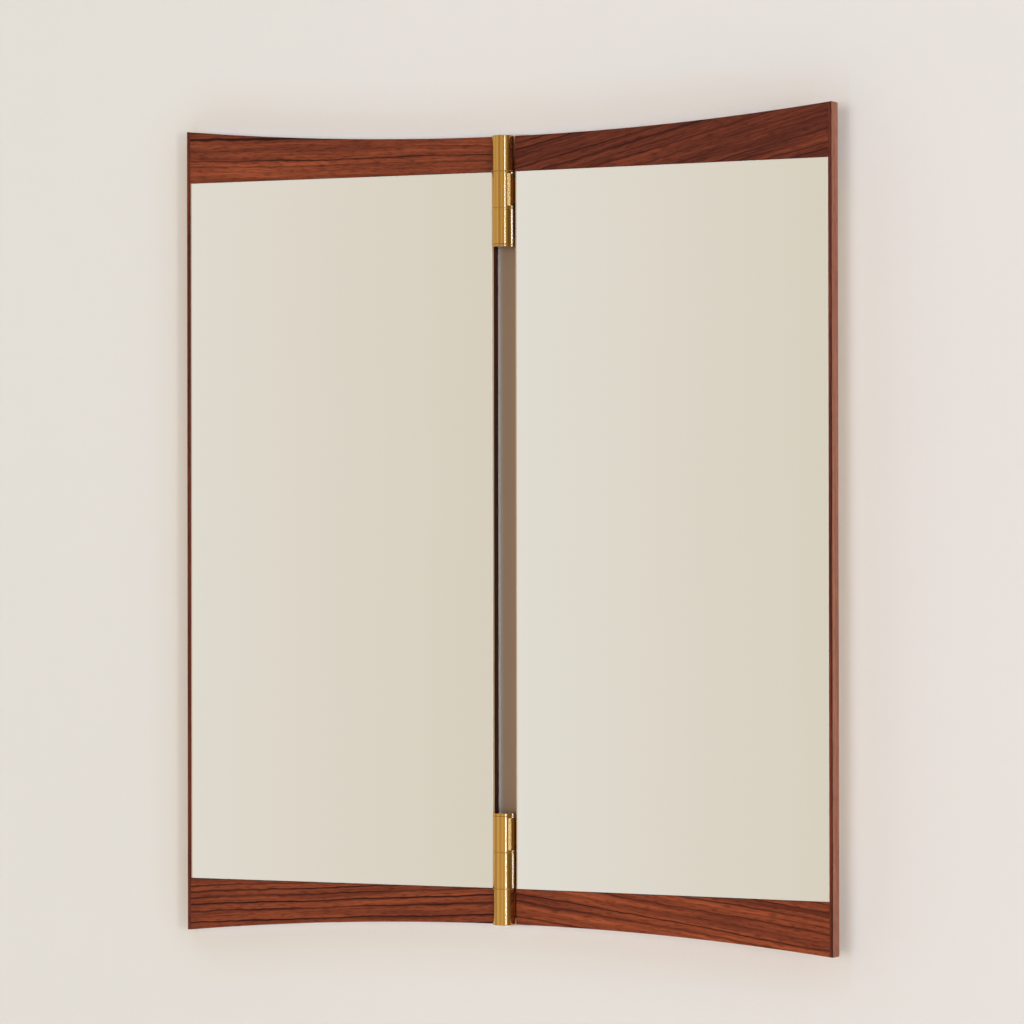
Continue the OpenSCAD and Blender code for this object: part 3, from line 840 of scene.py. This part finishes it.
def model_knuckle(with_flat):
    """A knuckle about the Z axis, with its middle at the origin and its flat towards +X."""
    half = KNUCKLE_L / 2
    knuckle = add_box("knuckle", (PIN_R + PIN_FIT, 0, -half), (BARREL_R, 1 * MM, half))

    def step():
        pick(knuckle, "verts", lambda co: co.y > 0.5 * MM)
        bpy.ops.mesh.delete(type="VERT")
        pick(knuckle, "faces", lambda co, normal: True)
        bpy.ops.mesh.delete(type="ONLY_FACE")
        pick(knuckle, "verts", lambda co: near(co.x, BARREL_R))
        bpy.ops.mesh.bevel(offset=KNUCKLE_EDGE, segments=3, affect="VERTICES")
        bpy.ops.mesh.select_all(action="SELECT")
        bpy.ops.mesh.spin(steps=SPIN_STEPS, angle=math.radians(360), center=(0, 0, 0), axis=(0, 0, 1),
                          use_auto_merge=True)
    shaped(knuckle, step)
    outwards(knuckle)
    if not with_flat:
        return knuckle
    flat_x = BARREL_R - FLAT_DEPTH
    half_chord = math.sqrt(BARREL_R ** 2 - flat_x ** 2)
    cutter = add_box("cutter", (flat_x, -half_chord - FLAT_SPARE, -half + FLAT_END),
                     (BARREL_R + BEYOND, half_chord + FLAT_SPARE, half - FLAT_END))

    def round_corners():
        pick(cutter, "edges", lambda co, along: abs(along.x) > 1 * MM)
        bpy.ops.mesh.bevel(offset=FLAT_CORNER, segments=8, affect="EDGES")
    shaped(cutter, round_corners)
    cutter.data.transform(Matrix.Rotation(-FLAT_TURN, 4, "Z"))
    return combine(knuckle, cutter, "DIFFERENCE")


plain_knuckle, flat_knuckle = model_knuckle(False), model_knuckle(True)
print("Knuckles:", len(plain_knuckle.data.polygons), "and", len(flat_knuckle.data.polygons), "faces")

# %% Model the two kinds of hinge leaf
screw_low, screw_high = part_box("fixed_hinge_screws")
SCREW_V = (screw_low.y + screw_high.y) / 2 - front_y
HEAD_R = (screw_high.y - screw_low.y) / 2
SHANK_R = 1.6 * MM
SCREW_FIT = 0.05 * MM
SCREW_SIDES = 48
NECK_START = 3 * MM
NECK_IN_PLATE = 0.5 * MM


def countersink(z):
    """The hole for one screw in the plate: a cone for the head and a bore for the shank."""
    depth = HEAD_R - SHANK_R
    cone = add_rod("cone", HEAD_R + SCREW_FIT, (INNER_U - FIT, SCREW_V, z), (INNER_U + depth, SCREW_V, z),
                   SCREW_SIDES, "X", end_radius=SHANK_R + SCREW_FIT)
    bore = add_rod("bore", SHANK_R + SCREW_FIT, (INNER_U + depth - FIT, SCREW_V, z),
                   (INNER_U + PLATE_T + BEYOND, SCREW_V, z), SCREW_SIDES, "X")
    return combine(cone, bore, "UNION")


def model_hinge_leaf(name, numbers):
    """A plate with the knuckles of these numbers, counted from the outer end of the barrel."""
    made = add_box(name, (INNER_U, PLATE_V, PLATE_BOTTOM), (INNER_U + PLATE_T, PLATE_BACK_V, PLATE_TOP))
    ease_edges(made, 0.25 * MM, 2)
    for number in numbers:
        z = KNUCKLE_MID[number]
        half = KNUCKLE_L / 2 - NECK_RELIEF
        neck = add_box("neck", (NECK_START, NECK_BACK_V - NECK_T, z - half),
                       (INNER_U + NECK_IN_PLATE, NECK_BACK_V, z + half))
        ease_edges(neck, 0.3 * MM, 2)
        knuckle = copy_of(flat_knuckle if number else plain_knuckle, "knuckle")
        knuckle.data.transform(Matrix.Translation((0, axis_v, z)))
        combine(made, combine(knuckle, neck, "UNION"), "UNION")
    for z in KNUCKLE_MID:
        combine(made, countersink(z), "DIFFERENCE")
    return made


two_knuckles = model_hinge_leaf("two_knuckles", (0, 2))
one_knuckle = model_hinge_leaf("one_knuckle", (1,))
for cad_node, piece, leaf, lower in (("upper_hinge_fixed_leaf", two_knuckles, "fixed", False),
                                     ("upper_hinge_swing_leaf", one_knuckle, "swing", False),
                                     ("lower_hinge_fixed_leaf", one_knuckle, "fixed", True),
                                     ("lower_hinge_swing_leaf", two_knuckles, "swing", True)):
    hand_over(copy_of(piece, cad_node), cad_node, leaf, [brass], lower)
for spare in (two_knuckles, one_knuckle, plain_knuckle, flat_knuckle):
    bpy.data.objects.remove(spare)

# %% [markdown]
# ## The hinge pins
# A pin is turned from one bar: a head as thick as the barrel, and a shank that fills the
# knuckles. The head is a disc whose upper face is inset to the shank's radius and extruded.
# A screwdriver slot is cut across the head.

# %% Model the pins
SLOT_HALF_L = 0.7 * BARREL_R
SLOT_HALF_W = 0.7 * MM
SLOT_DEPTH = 1 * MM


def model_pin():
    pin = add_rod("pin", BARREL_R, (0, axis_v, PIN_HEAD_Z), (0, axis_v, PIN_HEAD_Z + PIN_HEAD_T), SPIN_STEPS)

    def step():
        pick(pin, "faces", lambda co, normal: normal.z > 0.9)
        bpy.ops.mesh.inset(thickness=BARREL_R - PIN_R)
        shank_l = PIN_TOP - PIN_HEAD_Z - PIN_HEAD_T
        bpy.ops.mesh.extrude_region_move(TRANSFORM_OT_translate={"value": (0, 0, shank_l)})
    shaped(pin, step)
    ease_edges(pin, KNUCKLE_EDGE, 3)
    slot = add_box("slot", (-SLOT_HALF_L, axis_v - SLOT_HALF_W, PIN_HEAD_Z - BEYOND),
                   (SLOT_HALF_L, axis_v + SLOT_HALF_W, PIN_HEAD_Z + SLOT_DEPTH))
    return combine(pin, slot, "DIFFERENCE")


pin = model_pin()
hand_over(copy_of(pin, "upper"), "upper_hinge_pin", "fixed", [brass])
hand_over(copy_of(pin, "lower"), "lower_hinge_pin", "swing", [brass], lower=True)
bpy.data.objects.remove(pin)

# %% [markdown]
# ## The bumpers
# Rubber bumpers on the back keep each leaf off the wall. A bumper is a disc with a domed
# edge and a small dimple where the mould let it go.

# %% Model the bumpers
bumper_low, bumper_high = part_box("fixed_wall_bumpers")
BUMPER_R = (bumper_high.z - bumper_low.z) / 2
BUMPER_H = bumper_high.y - bumper_low.y
BUMPER_RIM = 0.62 * BUMPER_R
DIMPLE_DEPTH = 0.6 * MM


def model_bumper(u, z):
    bumper = add_rod("bumper", BUMPER_R, (0, 0, 0), (0, 0, BUMPER_H), 64)

    def step():
        pick(bumper, "faces", lambda co, normal: normal.z > 0.9)
        bpy.ops.mesh.inset(thickness=BUMPER_RIM)
        bpy.ops.mesh.extrude_region_move(TRANSFORM_OT_translate={"value": (0, 0, -DIMPLE_DEPTH)})
        pick(bumper, "edges", lambda co, along: near(co.z, BUMPER_H) and co.xy.length > 0.9 * BUMPER_R)
        bpy.ops.mesh.bevel(offset=BUMPER_R / 3, segments=6, affect="EDGES")
    shaped(bumper, step)
    lay = Matrix.Rotation(math.radians(-90), 4, "X")
    bumper.data.transform(Matrix.Translation((u, BOARD_BACK_V, z)) @ lay)
    return bumper


def model_bumpers(places):
    bumpers = [model_bumper(u, z) for u, z in places]
    activate(bumpers[0])
    for bumper in bumpers:
        bumper.select_set(True)
    bpy.ops.object.join()
    return bpy.context.object


bumper_z = (bumper_low.z + bumper_high.z) / 2
outer_bumper_u = axis_x - bumper_low.x - BUMPER_R
inner_bumper_u = axis_x - bumper_high.x + BUMPER_R
hand_over(model_bumpers([(inner_bumper_u, bumper_z), (outer_bumper_u, bumper_z)]),
          "fixed_wall_bumpers", "fixed", [rubber])
hand_over(model_bumpers([(outer_bumper_u, bumper_z), (outer_bumper_u, -bumper_z)]),
          "swing_wall_bumpers", "swing", [rubber])

# %% [markdown]
# ## What keeps its CAD shape
# The wall rails, hangers, screws, washers, dowels and tape have the right shape already. They
# get a material, and the extrusions a fine bevel. Their meshes are loose triangles, so a
# Weld modifier joins them before the bevel.

# %% Dress the CAD nodes that stay
kept = {
    "fixed_mirror_tape": foam_tape, "swing_mirror_tape": foam_tape,
    "fixed_dowels": beech, "swing_dowels": beech,
    "upper_hinge_washers": brass_screws, "lower_hinge_washers": brass_screws,
    "fixed_hinge_screws": brass_screws, "swing_hinge_screws": brass_screws,
    "hanger_screws": zinc,
    "upper_wall_rail": aluminium, "lower_wall_rail": aluminium,
    "upper_hanger": aluminium, "lower_hanger": aluminium,
}
for name, material in kept.items():
    piece = frame["nodes"][name]
    piece.data.materials.clear()
    piece.data.materials.append(material)
    if material is aluminium:
        weld = piece.modifiers.new("weld", "WELD")
        weld.merge_threshold = 0.001 * MM
        bevel = piece.modifiers.new("bevel", "BEVEL")
        bevel.width = 0.25 * MM
        bevel.segments = 2
        bevel.limit_method = "ANGLE"
print(len(kept), "CAD nodes keep their shape")

# %% [markdown]
# ## The wall and the floor
# The mirror hangs on a pale wall, which takes its soft shadow. In the photograph the wall is
# warmer and darker close round the frame and in the gap between the leaves, and paler beside
# the swing leaf. This is painted into the wall's colour: a painted warm shade close round the
# frame, where ambient occlusion finds it, except at the right of the swing leaf; painted light
# that pales the wall close to the frame, except at the left of the fixed leaf; and a darker,
# warm painted shade in the gap, placed by its position, where walnut and brass also throw their
# colour. The wall is seen through from behind, so that the back of the mirror can be looked at.
# Behind the two leaves it also lets light through, so that the back isn't black. The camera
# never sees that window from the front. A pale floor lies well below.

# %% The paint of the wall
NEAR_FRAME = 60 * MM
GAP_HALF = 20 * MM
WINDOW_INNER = 75 * MM
WINDOW_OUTER = 28 * MM
ROLLER_DEPTH = 0.15 * MM


def wall_tone(tree, place, parts):
    """The colour of the wall, with painted warm shade round the frame, painted light beside it and painted shade
    in the gap.
    """
    mottle = grain(tree, place, mm(350, 350, 350))
    along = node(tree, "MapRange", {"Value": parts["X"], "From Min": -0.2, "From Max": 0.6})
    pale = node(tree, "Mix", (along, "#e8e4dc", "#e9e4de"), **COLOURS)
    deep = node(tree, "Mix", (along, "#e6e2da", "#e7e2dc"), **COLOURS)
    paint = node(tree, "Mix", (mottle, pale, deep), **COLOURS)

    # Painted warm shade round the frame, where ambient occlusion is low, except right of the swing leaf.
    open_sky = node(tree, "AmbientOcclusion", {"Distance": NEAR_FRAME}, out="AO", samples=8)
    painted_shade_near_frame_ramp = node(tree, "MapRange", {"Value": open_sky, "From Min": 0.97, "From Max": 0.55})
    left_part = node(tree, "Math", (parts["X"], axis_x + OUTER_U), operation="LESS_THAN")
    painted_warm_shade_amount = node(tree, "Math", (painted_shade_near_frame_ramp, left_part), operation="MULTIPLY")
    paint = node(tree, "Mix", (painted_warm_shade_amount, paint, "#fcebd8"), **TINT)
    # Painted light: the wall is paled close to the frame, except left of the fixed leaf.
    painted_light_near_frame_ramp = node(tree, "MapRange", {"Value": open_sky, "From Min": 0.85, "From Max": 0.5})
    right_part = node(tree, "Math", (parts["X"], axis_x - OUTER_U), operation="GREATER_THAN")
    painted_light_amount = node(tree, "Math", (painted_light_near_frame_ramp, right_part), operation="MULTIPLY")
    paint = node(tree, "Mix", (painted_light_amount, paint, "#fdfaf8"), **COLOURS)

    # Painted shade in the gap between the leaves, darker and warm, placed by its position and height.
    from_axis = node(tree, "Math", (parts["X"], axis_x), operation="SUBTRACT")
    across_gap = node(tree, "MapRange", {"Value": from_axis, "From Min": -GAP_HALF, "From Max": GAP_HALF})
    painted_gap_shade = node(tree, "ValToRGB", (across_gap,),
                    stops=[(0.14, "#ffffff"), (0.18, "#b9aa98"), (0.24, "#aa927a"), (0.9, "#b99a7e"),
                           (1.0, "#ffffff")])
    from_middle = node(tree, "Math", (parts["Z"],), operation="ABSOLUTE")
    within = node(tree, "MapRange", {"Value": from_middle, "From Min": HALF_INNER + 4 * MM,
                                     "From Max": HALF_INNER + 1 * MM})
    shade = node(tree, "Mix", (within, "#ffffff", painted_gap_shade), **COLOURS)
    return node(tree, "Mix", (1.0, paint, shade), **TINT)


def wall_clear(tree, parts):
    """Where the wall lets light through: from behind, and in a window behind each leaf."""
    half_width = (OUTER_U - WINDOW_OUTER - INNER_U - WINDOW_INNER) / 2
    leaf_middle = (OUTER_U - WINDOW_OUTER + INNER_U + WINDOW_INNER) / 2
    left, right, tall = (node(tree, "Math", (parts[key], middle, half), operation="COMPARE")
                         for key, middle, half in (("X", axis_x - leaf_middle, half_width),
                                                   ("X", axis_x + leaf_middle, half_width),
                                                   ("Z", 0.0, HALF_INNER - WINDOW_OUTER)))
    wide = node(tree, "Math", (left, right), operation="ADD")
    window = node(tree, "Math", (wide, tall), operation="MULTIPLY")
    seen = node(tree, "LightPath", out="Is Camera Ray")
    not_seen = node(tree, "Math", (1.0, seen), operation="SUBTRACT")
    lit = node(tree, "Math", (window, not_seen), operation="MULTIPLY")
    behind = node(tree, "NewGeometry", out="Backfacing")
    return node(tree, "Math", (behind, lit), operation="MAXIMUM")


def wall_paint():
    material, tree, shader = new_material("wall_paint", roughness=0.9, specular_ior_level=0.1)
    place = local_place(tree)
    parts = node(tree, "SeparateXYZ", (place,)).node.outputs
    roller = grain(tree, place, mm(2.2, 2.2, 2.2))
    bump = node(tree, "Bump", {"Height": roller, "Strength": 0.12, "Distance": ROLLER_DEPTH})
    feed(shader, base_color=wall_tone(tree, place, parts), normal=bump)
    see_through = node(tree, "BsdfTransparent")
    surface = node(tree, "MixShader", (wall_clear(tree, parts), shader.outputs[0], see_through))
    feed(tree.nodes["Material Output"], surface=surface)
    return material


paint = wall_paint()
print("The paint of the wall has", len(paint.node_tree.nodes), "nodes")

# %% Build the wall and the floor
WALL_Y = 0.5 * MM
FLOOR_Z = -1.35
WALL_SIZE = 9.0
FLOOR_SIZE = 12.0
FACING_FRONT = (math.radians(90), 0, 0)


def plane(name, width, height, place, turn=(0, 0, 0)):
    """A sheet for the stage."""
    deselect()
    bpy.ops.mesh.primitive_plane_add(size=1, location=place, rotation=turn)
    made = bpy.context.object
    made.name = name
    made.scale = (width, height, 1)
    return apply_place(made)


wall = plane("wall", WALL_SIZE, WALL_SIZE, (axis_x, WALL_Y, FLOOR_Z + WALL_SIZE / 2), FACING_FRONT)
wall.data.materials.append(paint)
floor = plane("floor", FLOOR_SIZE, FLOOR_SIZE, (axis_x, 0, FLOOR_Z))
floor.data.materials.append(mottled("floor_paint", "#e9e4da", "#ece7de", mm(500, 500, 500), roughness=0.8))
print("The wall faces", [round(c, 1) for c in wall.data.polygons[0].normal])

# %% [markdown]
# ## Light
# Two softboxes light the object from 9 m away: the key stands well to the right, and a
# broader one nearly straight in front. Reflections don't show them. What the brass mirrors
# at the key's place is a cloth and, in it, a bright tube, which draws the line down each
# barrel. The mirrors show a far wall, whose tone runs from cool daylight to warm shade.
# Those three are sheets that only reflections see.

# %% Light from the softboxes
KEY_AZIMUTH = math.radians(43.5)
LAMP_DISTANCE = 9.0
KEY_SIZE = (0.8, 2.6)
KEY_POWER = 152.0
FRONT_AZIMUTH = math.radians(2)
FRONT_SIZE = (3.2, 2.4)
FRONT_POWER = 232.0


def studio_place(azimuth, distance):
    """A place at the mirror's height that faces the hinge; azimuth runs from straight ahead to the right."""
    target = Vector((axis_x, axis_y, 0))
    place = target + Vector((math.sin(azimuth), -math.cos(azimuth), 0)) * distance
    return place, (target - place).to_track_quat("-Z", "Y").to_euler()


def softbox(name, azimuth, size, power):
    """A rectangular light that reflections don't show."""
    lamp = bpy.data.lights.new(name, "AREA")
    lamp.shape = "RECTANGLE"
    lamp.size, lamp.size_y = size
    lamp.energy = power
    lamp.color = colour("#fdfcfe")[:3]
    stand = bpy.data.objects.new(name, lamp)
    stand.visible_camera = False
    stand.visible_glossy = False
    stand.location, stand.rotation_euler = studio_place(azimuth, LAMP_DISTANCE)
    bpy.context.scene.collection.objects.link(stand)
    print("The", name, "softbox stands at", [round(c, 2) for c in stand.location])


softbox("key", KEY_AZIMUTH, KEY_SIZE, KEY_POWER)
softbox("front", FRONT_AZIMUTH, FRONT_SIZE, FRONT_POWER)

# %% [markdown]
# Yellow metal takes most of the blue out of what it reflects. So the tube is blue here, and
# its line on the brass comes out white, as the overexposed one in the photograph.

# %% What only reflections show
TUBE_SIZE = (0.5, 3.4)
TUBE_STRENGTH = 52.0
TUBE_GAP = 0.1
CLOTH_SIZE = (1.6, 3.4)
CLOTH_STRENGTH = 1.6
FAR_LEFT, FAR_RIGHT, FAR_Y, FAR_TOP = -7.5, 2.8, -4.5, 4.0
FAR_TONES = [(-7.0, "#e6dfd3"), (-3.1, "#efecea"), (-1.4, "#dcd1c1"), (0.3, "#e2dace"), (2.6, "#e6dfd3")]


def glowing(name, strength, tone):
    """A material that only glows. tone is its colour, or a function that draws it with nodes."""
    material, tree = new_material(name)[:2]
    light = tone(tree) if callable(tone) else tone
    feed(tree.nodes["Material Output"], surface=node(tree, "Emission", (light, strength)))
    return material


def far_tone(tree):
    """The tones of the far wall from left to right."""
    across = node(tree, "SeparateXYZ", (node(tree, "TexCoord", out="Object"),), out="X")
    place = node(tree, "MapRange", {"Value": across, "From Min": FAR_LEFT, "From Max": FAR_RIGHT})
    span = FAR_RIGHT - FAR_LEFT
    return node(tree, "ValToRGB", (place,), stops=[((x - FAR_LEFT) / span, text) for x, text in FAR_TONES])


def only_mirrored(name, size, place, turn, material):
    """A glowing sheet that only reflections show."""
    sheet = plane(name, *size, place, turn)
    sheet.data.materials.append(material)
    sheet.visible_camera = False
    sheet.visible_diffuse = False
    sheet.visible_shadow = False
    sheet.visible_transmission = False


only_mirrored("tube", TUBE_SIZE, *studio_place(KEY_AZIMUTH, LAMP_DISTANCE - TUBE_GAP),
              glowing("tube_glow", TUBE_STRENGTH, "#6a8cff"))
only_mirrored("softbox", CLOTH_SIZE, *studio_place(KEY_AZIMUTH, LAMP_DISTANCE),
              glowing("softbox_glow", CLOTH_STRENGTH, "#f1f3fb"))
far_middle = ((FAR_LEFT + FAR_RIGHT) / 2, FAR_Y, (FLOOR_Z + FAR_TOP) / 2)
only_mirrored("far_wall", (FAR_RIGHT - FAR_LEFT, FAR_TOP - FLOOR_Z), far_middle, FACING_FRONT,
              glowing("far_wall_paint", 1.0, far_tone))
print("Reflections show a tube, a cloth and a far wall")

# %% [markdown]
# The world holds two things: a plain cream room, a little darker far to the right, for the
# camera and for all that mirrors it, and a soft white light from all round for the rest.

# %% The room all round
world = bpy.data.worlds.new("room")
world.use_nodes = True
bpy.context.scene.world = world
sky = world.node_tree
toward = node(sky, "SeparateXYZ", (node(sky, "TexCoord", out="Generated"),)).node.outputs
to_right = node(sky, "ValToRGB", (toward["X"],), stops=[(0.62, 1.0), (0.8, 0.8), (0.95, 0.34), (1.0, 0.3)])
room_tone = node(sky, "Mix", (1.0, "#e6dfd3", to_right), **TINT)
paths = node(sky, "LightPath").node.outputs
room_tone = node(sky, "Mix", (paths["Is Camera Ray"], room_tone, "#e6e1d8"), **COLOURS)
room = node(sky, "Background", (room_tone, 1.0))
height = node(sky, "Math", (toward["Z"], 0.5, 0.5), operation="MULTIPLY_ADD")
from_above = node(sky, "ValToRGB", (height,), stops=[(0.0, 1.0), (0.5, 0.98), (1.0, 0.9)])
soft_tone = node(sky, "Mix", (1.0, "#fcfdff", from_above), **TINT)
soft_light = node(sky, "Background", (soft_tone, 0.6))
seen = node(sky, "Math", (paths["Is Camera Ray"], paths["Is Glossy Ray"]), operation="MAXIMUM")
seen = node(sky, "Math", (seen, paths["Is Transmission Ray"]), operation="MAXIMUM")
feed(sky.nodes["World Output"], surface=node(sky, "MixShader", (seen, soft_light, room)))
print("The world has", len(sky.nodes), "nodes")
